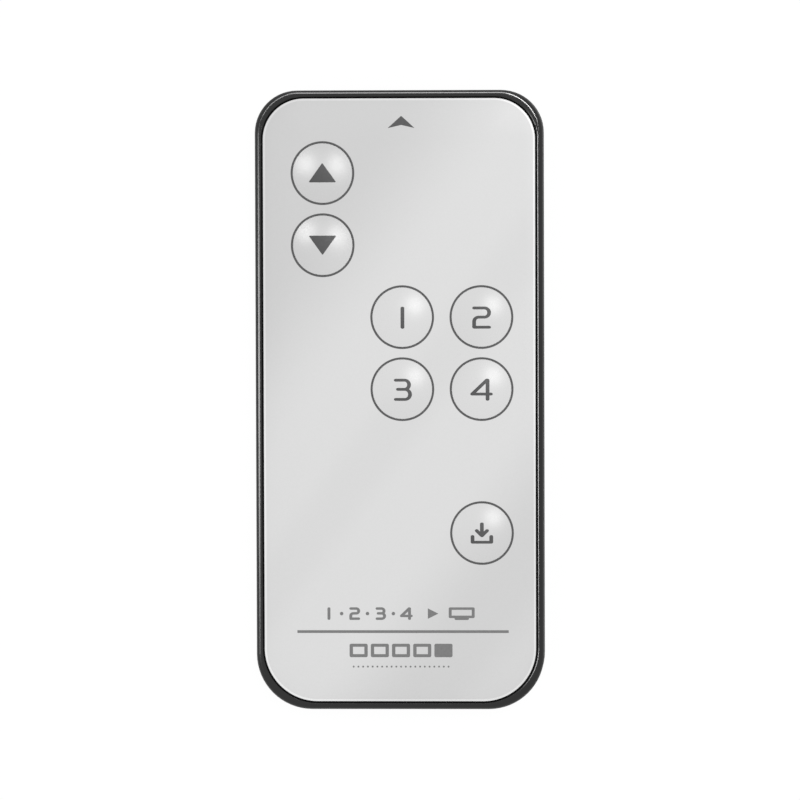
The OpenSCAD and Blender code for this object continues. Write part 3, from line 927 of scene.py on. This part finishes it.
class REMOTE_OT_case(bpy.types.Operator):
    """Finish the case tray, the battery drawer and its latch"""

    bl_idname = "remote.case"
    bl_label = "Case, drawer and latch"

    def execute(self, context):
        plastic = case_plastic(context.scene.remote_case)
        for node in ("case_tray", "battery_drawer", "drawer_latch"):
            dress(node, plastic)
        return {"FINISHED"}


class REMOTE_OT_panel(bpy.types.Operator):
    """Make the silver panel with its bright edge and key holes"""

    bl_idname = "remote.panel"
    bl_label = "Front panel"

    def execute(self, context):
        film = context.scene.remote_film
        plate = (
            PANEL_HIGH.x - PANEL_LOW.x,
            PANEL_HIGH.y - PANEL_LOW.y,
            film.top_radius,
            film.bottom_radius,
        )
        outer = plate_loop(*plate, film.trim)
        inner = plate_loop(*plate, film.trim + film.edge_width)
        hole_r = key_radius() + film.key_clearance
        holes = [circle_loop(hole_r, key_middle(name).xy) for name in KEY_NODES]
        bm = bmesh.new()
        face_edge, face_holes = self.add_sheet(bm, inner, holes, PANEL_HIGH.z, flipped=False)
        back_edge, back_holes = self.add_sheet(bm, outer, holes, PANEL_LOW.z, flipped=True)
        shoulder = [bm.verts.new((x, y, PANEL_HIGH.z - film.edge_drop)) for x, y in outer]
        bridge(bm, shoulder, face_edge, material_index=1)
        bridge(bm, back_edge, shoulder, material_index=2)
        for face_hole, back_hole in zip(face_holes, back_holes):
            bridge(bm, face_hole, back_hole)
        silver = film_material("Panel film", film.silver, rough=0.3, grain_depth=0.0006 * MM)
        # The bevelled edge is lighter than the film: a painted highlight added to the light it catches
        edge = film_material("Panel edge", film.edge_highlight_silver, rough=0.22, grain_depth=0.0003 * MM)
        # The film's side wall is near black: painted shade in the gap round the panel
        film_side_shade = grained("Panel cut edge", (0.02, 0.02, 0.02), grain=(0.05 * MM, 0.001 * MM), rough=(0.6, 0.05))
        stand_in("panel_sheet", bm, "front_panel", "panel_film", silver, edge, film_side_shade)
        self.add_gap_shade(plate, film.trim)
        return {"FINISHED"}

    def add_gap_shade(self, plate, trim):
        """Dark sheet on the ledge, in the gap round the panel, which climbs the wall of the tray: painted
        shade that darkens the gap.
        """
        start = 0.01 * MM - trim
        foot = 0.05 * MM
        # Outset and rise of the dark sheet's face, in millimetres
        climb = [(0.06, 0.06), (0.14, 0.1), (0.18, 0.2), (0.2, 0.38), (0.215, 0.4), (0.215, 0)]
        section = [(start, 0), (start, foot)] + [(outset * MM, rise * MM) for outset, rise in climb]
        bm = bmesh.new()
        loops = []
        for outset, rise in section:
            loop = plate_loop(*plate, -outset)
            loops.append([bm.verts.new((x, y, PANEL_LOW.z + rise)) for x, y in loop])
        for first, second in zip(loops, loops[1:] + loops[:1]):
            bridge(bm, first, second)
        # Near black: painted shade in the gap round the panel
        black = (0.004, 0.004, 0.004)
        grain = (0.08 * MM, 0.004 * MM)
        gap_shade = grained("Panel glue", black, grain, rough=(0.85, 0.1), Specular_IOR_Level=0.2)
        new_piece("panel_seal", bm, "front_panel", "case_plastic", gap_shade)

    def add_sheet(self, bm, outline, holes, height, flipped):
        """Flat sheet with holes. Gives the loops of points round it and round its holes."""
        scale = 1 / MM
        loops = [[(x * scale, y * scale) for x, y in loop] for loop in (outline, *holes)]
        points, faces, index = cover(loops[:1], loops[1:], spacing=6.0)
        used = {i for face in faces for i in face}
        verts = {i: bm.verts.new((points[i].x * MM, points[i].y * MM, height)) for i in used}
        for face in faces:
            corners = [verts[i] for i in face]
            bm.faces.new(corners[::-1] if flipped else corners)
        rims = []
        start = 0
        for loop in loops:
            rims.append([verts[index[i]] for i in range(start, start + len(loop))])
            start += len(loop)
        return rims[0], rims[1:]


class REMOTE_OT_keys(bpy.types.Operator):
    """Make the domed keys"""

    bl_idname = "remote.keys"
    bl_label = "Keys"

    def execute(self, context):
        film = context.scene.remote_film
        silver = film_material("Key film", film.silver, rough=0.26, grain_depth=0.0004 * MM)
        for name in KEY_NODES:
            bm = lathe(self.profile(film), middle_of(name, 0))
            stand_in(name.replace("key_", "key_cap_"), bm, name, "key_film", silver)
        return {"FINISHED"}

    def profile(self, film):
        """Section of a key: its dome, skirt, hollow and stem."""
        radius = key_radius()
        sheet = PANEL_HIGH.z - PANEL_LOW.z
        stem = film.stem_diameter / 2
        soft = 0.06 * MM
        hollow = radius - sheet
        steps = 20
        face = [(radius - soft) * i / steps for i in range(steps + 1)]
        under = [stem + (hollow - stem) * i / steps for i in range(steps, -1, -1)]
        points = [(r, dome_height(r)) for r in face]
        points += [(radius, PANEL_HIGH.z - soft), (radius, PANEL_LOW.z), (hollow, PANEL_LOW.z)]
        points += [(r, dome_height(r, sheet)) for r in under]
        points += [(stem, KEY_LOW.z), (0, KEY_LOW.z)]
        return points


class REMOTE_OT_key_print(bpy.types.Operator):
    """Print the rings round the keys and the marks on them"""

    bl_idname = "remote.key_print"
    bl_label = "Key print"

    def execute(self, context):
        ink = context.scene.remote_print
        pen = (ink.pen_width / MM, ink.pen_height / MM)
        spacing = 0.3
        inside = key_radius() + context.scene.remote_film.key_clearance
        outside = inside + ink.ring_width
        low, high = -ink.thickness, ink.thickness
        ring = [(inside, low), (inside, high), (outside, high), (outside, low)]
        black = ink_material("Print ink", ink.ink)
        for name in KEY_NODES:
            short = name.replace("key_", "")
            middle = key_middle(name)
            new_piece("ring_" + short, lathe(ring, middle), "front_panel", "panel_film", black)
            legend = laid_solid(key_legend(name, pen), dome_over(middle), ink.thickness, middle, spacing)
            new_piece("legend_" + short, legend, name, "key_film", black)
        return {"FINISHED"}


class REMOTE_OT_panel_print(bpy.types.Operator):
    """Print the chevron, the line and the rows of signs on the panel"""

    bl_idname = "remote.panel_print"
    bl_label = "Panel print"

    def execute(self, context):
        ink = context.scene.remote_print
        black = ink_material("Chevron ink", ink.ink)
        grey = ink_material("Row ink", ink.row_ink)
        chevron = arrow_outline(half_width=1.87, base=0, tip=1.7, notch=0.44, corner=0.03)
        line = plate_loop(width=29.4, length=0.38, top_radius=0.05, bottom_radius=0.05)
        dots = dot_row(count=21, pitch=0.66, radius=0.13)
        self.add("print_chevron", (0.34, 37.75), [chevron], ink.thickness, black)
        self.add("print_line", (0.38, -32.17), [line], ink.thickness, grey)
        self.add("print_input_row", (0.45, -29.66), input_row(pen=(0.4, 0.34)), ink.thickness, grey)
        self.add("print_socket_row", (0.1, -34.8), socket_row(pen=(0.46, 0.42)), ink.thickness, grey)
        self.add("print_dot_row", (0.1, -37.05), dots, ink.thickness, grey)
        return {"FINISHED"}

    def add(self, name, place, outlines, thickness, material):
        """One mark on the panel, at a place in millimetres."""
        origin = (place[0] * MM, place[1] * MM)
        bm = laid_solid(outlines, lambda x, y: PANEL_HIGH.z, thickness, origin)
        new_piece(name, bm, "front_panel", "panel_film", material)


class REMOTE_OT_snap_domes(bpy.types.Operator):
    """Make the sprung domes that the keys press flat"""

    bl_idname = "remote.snap_domes"
    bl_label = "Snap domes"

    def execute(self, context):
        steel = context.scene.remote_inner.steel
        metal = metal_material("Dome steel", steel, 0.06 * MM, (1.0, 0.04, 1.0), rough=0.3, depth=0.0008 * MM)
        low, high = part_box(SNAP_NODES[0])
        section = self.profile(radius_of(SNAP_NODES[0]), high.z - low.z)
        for name in SNAP_NODES:
            middle = middle_of(name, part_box(name)[0].z)
            bm = lathe(section, middle)
            piece = stand_in(name.replace("snap_dome", "click_dome"), bm, name, "spring_metal", metal)
            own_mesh(piece)
        return {"FINISHED"}

    def profile(self, radius, rise):
        """Section of a sprung dome: a shallow cap with a dimple in its middle and a flat rim."""
        sheet = 0.08 * MM
        dimple_r, dimple = 0.8 * MM, 0.03 * MM
        steps = 14
        ball = (radius**2 + rise**2) / (2 * rise)
        points = []
        for i in range(steps + 1):
            r = radius * i / steps
            sunk = dimple * max(0.0, 1 - (r / dimple_r) ** 2)
            points.append((r, rise - ball + math.sqrt(ball**2 - r**2) - sunk))
        under = [(r, max(z - sheet, 0.0)) for r, z in reversed(points)]
        return points + under[1:]


class REMOTE_OT_board(bpy.types.Operator):
    """Finish the sheets, the circuit board and what is soldered to it"""

    bl_idname = "remote.board"
    bl_label = "Board and sheets"

    def execute(self, context):
        settings = context.scene.remote_inner
        film = (0.15 * MM, 0.001 * MM)
        resin = (0.5 * MM, 0.008 * MM)
        coat = (0.3 * MM, 0.01 * MM)
        moulding = (0.07 * MM, 0.003 * MM)
        copper, tin, black = settings.copper, (0.6, 0.59, 0.56), (0.018, 0.018, 0.019)
        even, drawn = (1.0, 1.0, 1.0), (1.0, 0.05, 1.0)
        capacitor = ("Capacitor", "reservoir_capacitor", (0.55, 0.36, 0.08), (0.2, 0.1, 0.03))
        resistor = ("Resistor", "chip_resistors", (0.015, 0.015, 0.018), (0.7, 0.7, 0.68))
        finishes = {
            "spacer_sheet": grained("Spacer film", (0.8, 0.78, 0.7), film, rough=(0.45, 0.05)),
            "locator_sheet": grained("Locator film", (0.82, 0.83, 0.85), film, rough=(0.3, 0.05)),
            "circuit_board": board_material(settings),
            "contact_pads": metal_material("Plated pads", copper, 0.08 * MM, even, 0.28, 0.0006 * MM),
            "controller_blob": grained("Potting resin", (0.012, 0.012, 0.013), resin, rough=(0.2, 0.05)),
            "resonator": grained("Resonator coat", (0.5, 0.2, 0.02), coat, rough=(0.3, 0.06)),
            "reservoir_capacitor": capped_material(*capacitor),
            "driver_transistor": grained("Transistor body", black, moulding, rough=(0.5, 0.05)),
            "chip_resistors": capped_material(*resistor, metal_ends=True),
            "emitter_leads": metal_material("Tinned wire", tin, 0.05 * MM, drawn, 0.32, 0.0008 * MM),
        }
        for node, material in finishes.items():
            dress(node, material)
        return {"FINISHED"}


class REMOTE_OT_cell(bpy.types.Operator):
    """Make the coin cell and finish its contacts"""

    bl_idname = "remote.cell"
    bl_label = "Coin cell and contacts"

    def execute(self, context):
        metal = context.scene.remote_inner.steel
        middle = middle_of("cell_can", 0)
        steel = metal_material("Cell steel", metal, 0.09 * MM, (1.0, 0.02, 1.0), rough=0.3, depth=0.0003 * MM)
        nylon = grained("Seal nylon", (0.03, 0.03, 0.034), grain=(0.2 * MM, 0.002 * MM), rough=(0.4, 0.05))
        stand_in("cell_cup", lathe(self.can_profile(), middle), "cell_can", "cell_steel", steel)
        self.add_plus(middle)
        stand_in("cell_seal", lathe(self.seal_profile(), middle), "cell_gasket", "component_black", nylon)
        stand_in("cell_lid", lathe(self.lid_profile(), middle), "cell_cap", "cell_core", steel)
        spring = metal_material("Contact spring", metal, 0.05 * MM, (0.05, 1, 1), 0.3, depth=0.0008 * MM)
        dress("negative_contact", spring)
        dress("positive_contact", spring)
        return {"FINISHED"}

    def can_profile(self):
        """Section of the can: a stepped floor, a rounded edge and a wall that is rolled in over the seal."""
        low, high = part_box("cell_can")
        radius, seal_r = radius_of("cell_can"), radius_of("cell_gasket")
        sheet = radius - seal_r
        soft, step, step_r = 0.35 * MM, 0.06 * MM, 0.86 * radius
        roll, roll_drop, lip, lip_drop = 0.12 * MM, 0.1 * MM, 0.02 * MM, 0.05 * MM
        edge = arc(soft, (radius - soft, low.z + step + soft), 270, 360, steps=8)
        points = [(0, low.z), (step_r, low.z), (step_r + 2 * step, low.z + step), *edge]
        points += [(radius, high.z - roll_drop), (radius - roll, high.z), (seal_r + lip, high.z - lip_drop)]
        points += [(radius - sheet, low.z + sheet), (0, low.z + sheet)]
        return points

    def seal_profile(self):
        """Section of the seal between the can and the lid."""
        low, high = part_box("cell_gasket")
        outside = radius_of("cell_gasket")
        gap = 0.03 * MM
        inside = radius_of("cell_cap") + gap
        return [(outside, low.z), (outside, high.z), (inside, high.z), (inside, low.z)]

    def lid_profile(self):
        """Section of the lid, with a rounded edge."""
        low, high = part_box("cell_cap")
        radius = radius_of("cell_cap")
        soft = 0.3 * MM
        edge = arc(soft, (radius - soft, high.z - soft), 0, 90, steps=8)
        return [(0, low.z), (radius, low.z), *edge, (0, high.z)]

    def add_plus(self, middle):
        """Etched plus sign on the floor of the can."""
        arm, pen = 2.6, (0.9, 0.9)
        relief = 0.02 * MM
        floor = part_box("cell_can")[0].z
        bars = [pen_line((-arm, 0), (arm, 0)), pen_line((0, -arm), (0, arm))]
        bm = laid_solid([pen_outline(bar, pen) for bar in bars], lambda x, y: floor, relief, middle)
        etched = grained("Etched steel", (0.09, 0.09, 0.09), grain=(0.06 * MM, 0.001 * MM), rough=(0.5, 0.06))
        new_piece("cell_plus", bm, "cell_can", "cell_steel", etched)


class REMOTE_OT_emitter(bpy.types.Operator):
    """Make the clear emitter with its domed lens and the cup inside it"""

    bl_idname = "remote.emitter"
    bl_label = "Emitter"

    def execute(self, context):
        low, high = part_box("emitter")
        foot = Vector(((low.x + high.x) / 2, low.y, (low.z + high.z) / 2))
        turn = Matrix.Rotation(-QUARTER_TURN, 4, "X")
        lens = lathe(self.lens_profile(high.y - low.y), foot, turn)
        stand_in("emitter_lens", lens, "emitter", "emitter_lens", lens_material())
        steel = context.scene.remote_inner.steel
        plating = metal_material("Cup plating", steel, 0.05 * MM, (1, 1, 1), rough=0.2, depth=0.0002 * MM)
        cup = lathe(self.cup_profile(), foot, turn)
        new_piece("emitter_cup", cup, "emitter", "spring_metal", plating)
        return {"FINISHED"}

    def lens_profile(self, length):
        """Section of the lens: a flange and a round nose."""
        flange_r, flange, flange_step = radius_of("emitter"), 0.7 * MM, 0.15 * MM
        lens_r = flange_r - flange_step
        dome = arc(lens_r, (0, length - lens_r), 0, 90, steps=16)
        return [(0, 0), (flange_r, 0), (flange_r, flange), (lens_r, flange), *dome[:-1], (0, length)]

    def cup_profile(self):
        """Section of the cup, with the chip on its floor."""
        radius, foot, rim, chip = 0.55 * MM, 1.1 * MM, 1.6 * MM, 0.2 * MM
        mouth, floor = 0.8 * radius, 0.4 * radius
        points = [(0, foot), (radius, foot), (radius, rim), (mouth, rim)]
        return points + [(floor, foot + chip), (0, foot + chip)]


class REMOTE_OT_stage(bpy.types.Operator):
    """Set the camera, the lamps, the even light and the white floor"""

    bl_idname = "remote.stage"
    bl_label = "Stage"

    def execute(self, context):
        settings = context.scene.remote_stage
        self.add_camera(context, settings)
        self.add_lamps(context, settings)
        self.add_sky(context, settings)
        self.add_floor(context, settings)
        context.scene.view_settings.view_transform = "Standard"
        return {"FINISHED"}

    def add_camera(self, context, settings):
        """Camera over the panel, turned as the view tilt says."""
        camera = bpy.data.cameras.new("Camera")
        camera.sensor_width = 36
        camera.lens = camera.sensor_width * settings.view_distance / settings.view_width
        camera.clip_start = 0.01
        turns = [Matrix.Rotation(angle, 3, axis) for angle, axis in zip(settings.view_tilt, "XYZ")]
        stance = (turns[2] @ turns[1] @ turns[0]).transposed()
        middle = Vector((0, 0, PANEL_HIGH.z))
        place = middle + stance @ Vector((*settings.view_shift, settings.view_distance))
        holder = bpy.data.objects.new("Camera", camera)
        holder.matrix_world = Matrix.Translation(place) @ stance.to_4x4()
        context.scene.collection.objects.link(holder)
        context.scene.camera = holder

    def add_lamps(self, context, settings):
        """A large lamp for all but the tray, and lamps that only add a gloss to the arrow keys or the rim."""
        tray = [NODES["case_tray"]]
        arrows = [bpy.data.objects["key_cap_up"], bpy.data.objects["key_cap_down"]]
        keys = key_middle("key_1")
        rim_end = Vector((0, CAD_BOX[1].y, CAD_BOX[1].z))
        right_rim = Vector(settings.rim_lamp) + Vector((0.1, 0, -0.1))
        flat = Vector((1, 1, 0))

        def add_gloss_lamp(name, pieces, aim, **shape):
            lamp = self.add_lamp(context, settings, name, aim, **shape)
            lamp.visible_diffuse = False
            self.link_lamp(lamp, pieces, "INCLUDE")

        right = self.add_lamp(context, settings, "right", keys, size=(0.32, 0.32))
        self.link_lamp(right, tray, "EXCLUDE")
        add_gloss_lamp("left", arrows, keys, size=(0.05, 0.05))
        add_gloss_lamp("pair", arrows, keys, size=(0.3, 0.4))
        add_gloss_lamp("side", tray, keys, size=(0.085, 0.42))
        add_gloss_lamp("end", tray, rim_end, size=(0.06, 0.05), spread=32)
        add_gloss_lamp("rim", tray, right_rim, size=(0.12, 0.02), spread=60)
        for name, turn in (("corner_right", 9), ("corner_left", -5.7)):
            below = Vector(getattr(settings, name + "_lamp")) * flat
            add_gloss_lamp(name, tray, below, size=(0.006, 0.05), spread=150, turn=turn)

    def add_lamp(self, context, settings, name, aim, size, spread=180, turn=0):
        """Oval soft lamp of a width and height, aimed at a point, with its spread and turn in degrees."""
        label = "Lamp " + name.replace("_", " ")
        place = Vector(getattr(settings, name + "_lamp"))
        lamp = bpy.data.lights.new(label, "AREA")
        lamp.shape = "ELLIPSE"
        lamp.size, lamp.size_y = size
        lamp.energy = getattr(settings, name + "_power")
        lamp.spread = math.radians(spread)
        holder = bpy.data.objects.new(label, lamp)
        holder.location = place
        holder.rotation_euler = (place - aim).to_track_quat("Z", "Y").to_euler()
        holder.rotation_euler.z += math.radians(turn)
        holder.visible_camera = False
        context.scene.collection.objects.link(holder)
        return holder

    def link_lamp(self, lamp, pieces, state):
        """Lets a lamp light only some pieces, or all but those."""
        group = bpy.data.collections.new(lamp.name + " pieces")
        for piece in pieces:
            group.objects.link(piece)
        for entry in group.collection_objects:
            entry.light_linking.link_state = state
        lamp.light_linking.receiver_collection = group

    def seen_rays(self, tree):
        """1 for rays that show the background itself, in the view, in a gloss or through glass."""
        path = add_node(tree, "ShaderNodeLightPath")
        found = path.outputs["Is Camera Ray"]
        for label in ("Is Glossy Ray", "Is Transmission Ray"):
            found = maths(tree, "MAXIMUM", found, path.outputs[label])
        return found

    def add_sky(self, context, settings):
        """White all round, at a plain level for the light that it gives."""
        world = bpy.data.worlds.new("Sky")
        world.use_nodes = True
        tree = world.node_tree
        white = tree.nodes["Background"]
        white.inputs["Color"].default_value = (1, 1, 1, 1)
        level = map_range(tree, self.seen_rays(tree), (0.0, 1.0), settings.sky_level, 1.0)
        tree.links.new(level, white.inputs["Strength"])
        context.scene.world = world

    def add_floor(self, context, settings):
        """White floor with a faint shadow, which is clear from below."""
        half_size, clearance = 8.0, 0.1 * MM
        offset = (1.5, -2.0)
        material = bpy.data.materials.new("Floor white")
        material.use_nodes = True
        tree = material.node_tree
        tree.nodes.remove(tree.nodes["Principled BSDF"])

        def mixed(share, first, second):
            links = {0: share, 1: first.outputs[0], 2: second.outputs[0]}
            return add_node(tree, "ShaderNodeMixShader", links)

        paper = add_node(tree, "ShaderNodeBsdfDiffuse", {"Color": (0.95, 0.95, 0.95, 1)})
        glow = add_node(tree, "ShaderNodeEmission", {"Color": (1, 1, 1, 1), "Strength": 1.02})
        clear = add_node(tree, "ShaderNodeBsdfTransparent")
        below = add_node(tree, "ShaderNodeNewGeometry").outputs["Backfacing"]
        white = mixed(1 - settings.shadow_share, paper, glow)
        seen = mixed(self.seen_rays(tree), paper, white)
        result = mixed(below, seen, clear)
        tree.links.new(result.outputs[0], tree.nodes["Material Output"].inputs["Surface"])
        bm = bmesh.new()
        bmesh.ops.create_grid(bm, x_segments=1, y_segments=1, size=half_size)
        mesh = bpy.data.meshes.new("Floor")
        bm.to_mesh(mesh)
        bm.free()
        mesh.materials.append(material)
        floor = bpy.data.objects.new("Floor", mesh)
        floor.location = (*offset, CAD_BOX[0].z - clearance)
        context.scene.collection.objects.link(floor)


class REMOTE_PT_looks(bpy.types.Panel):
    """Lists the steps that dress the remote"""

    bl_idname = "REMOTE_PT_looks"
    bl_label = "Card remote"
    bl_space_type = "VIEW_3D"
    bl_region_type = "UI"
    bl_category = "Remote"

    def draw(self, context):
        for operator in OPERATORS:
            self.layout.operator(operator.bl_idname)


SETTINGS = {
    "remote_stage": StageSettings,
    "remote_case": CaseSettings,
    "remote_film": FilmSettings,
    "remote_print": PrintSettings,
    "remote_inner": InnerSettings,
}
OPERATORS = (
    REMOTE_OT_case,
    REMOTE_OT_panel,
    REMOTE_OT_keys,
    REMOTE_OT_key_print,
    REMOTE_OT_panel_print,
    REMOTE_OT_snap_domes,
    REMOTE_OT_board,
    REMOTE_OT_cell,
    REMOTE_OT_emitter,
    REMOTE_OT_stage,
)


def register():
    """Registers the settings, the operators and the sidebar panel."""
    for name, group in SETTINGS.items():
        bpy.utils.register_class(group)
        setattr(bpy.types.Scene, name, PointerProperty(type=group))
    for kind in (*OPERATORS, REMOTE_PT_looks):
        bpy.utils.register_class(kind)


def unregister():
    """Takes back what register did."""
    for kind in (REMOTE_PT_looks, *reversed(OPERATORS)):
        bpy.utils.unregister_class(kind)
    for name, group in SETTINGS.items():
        delattr(bpy.types.Scene, name)
        bpy.utils.unregister_class(group)


def main():
    """Dresses the remote."""
    register()
    for operator in OPERATORS:
        space, action = operator.bl_idname.split(".")
        getattr(getattr(bpy.ops, space), action)()


if __name__ == "__main__":
    main()
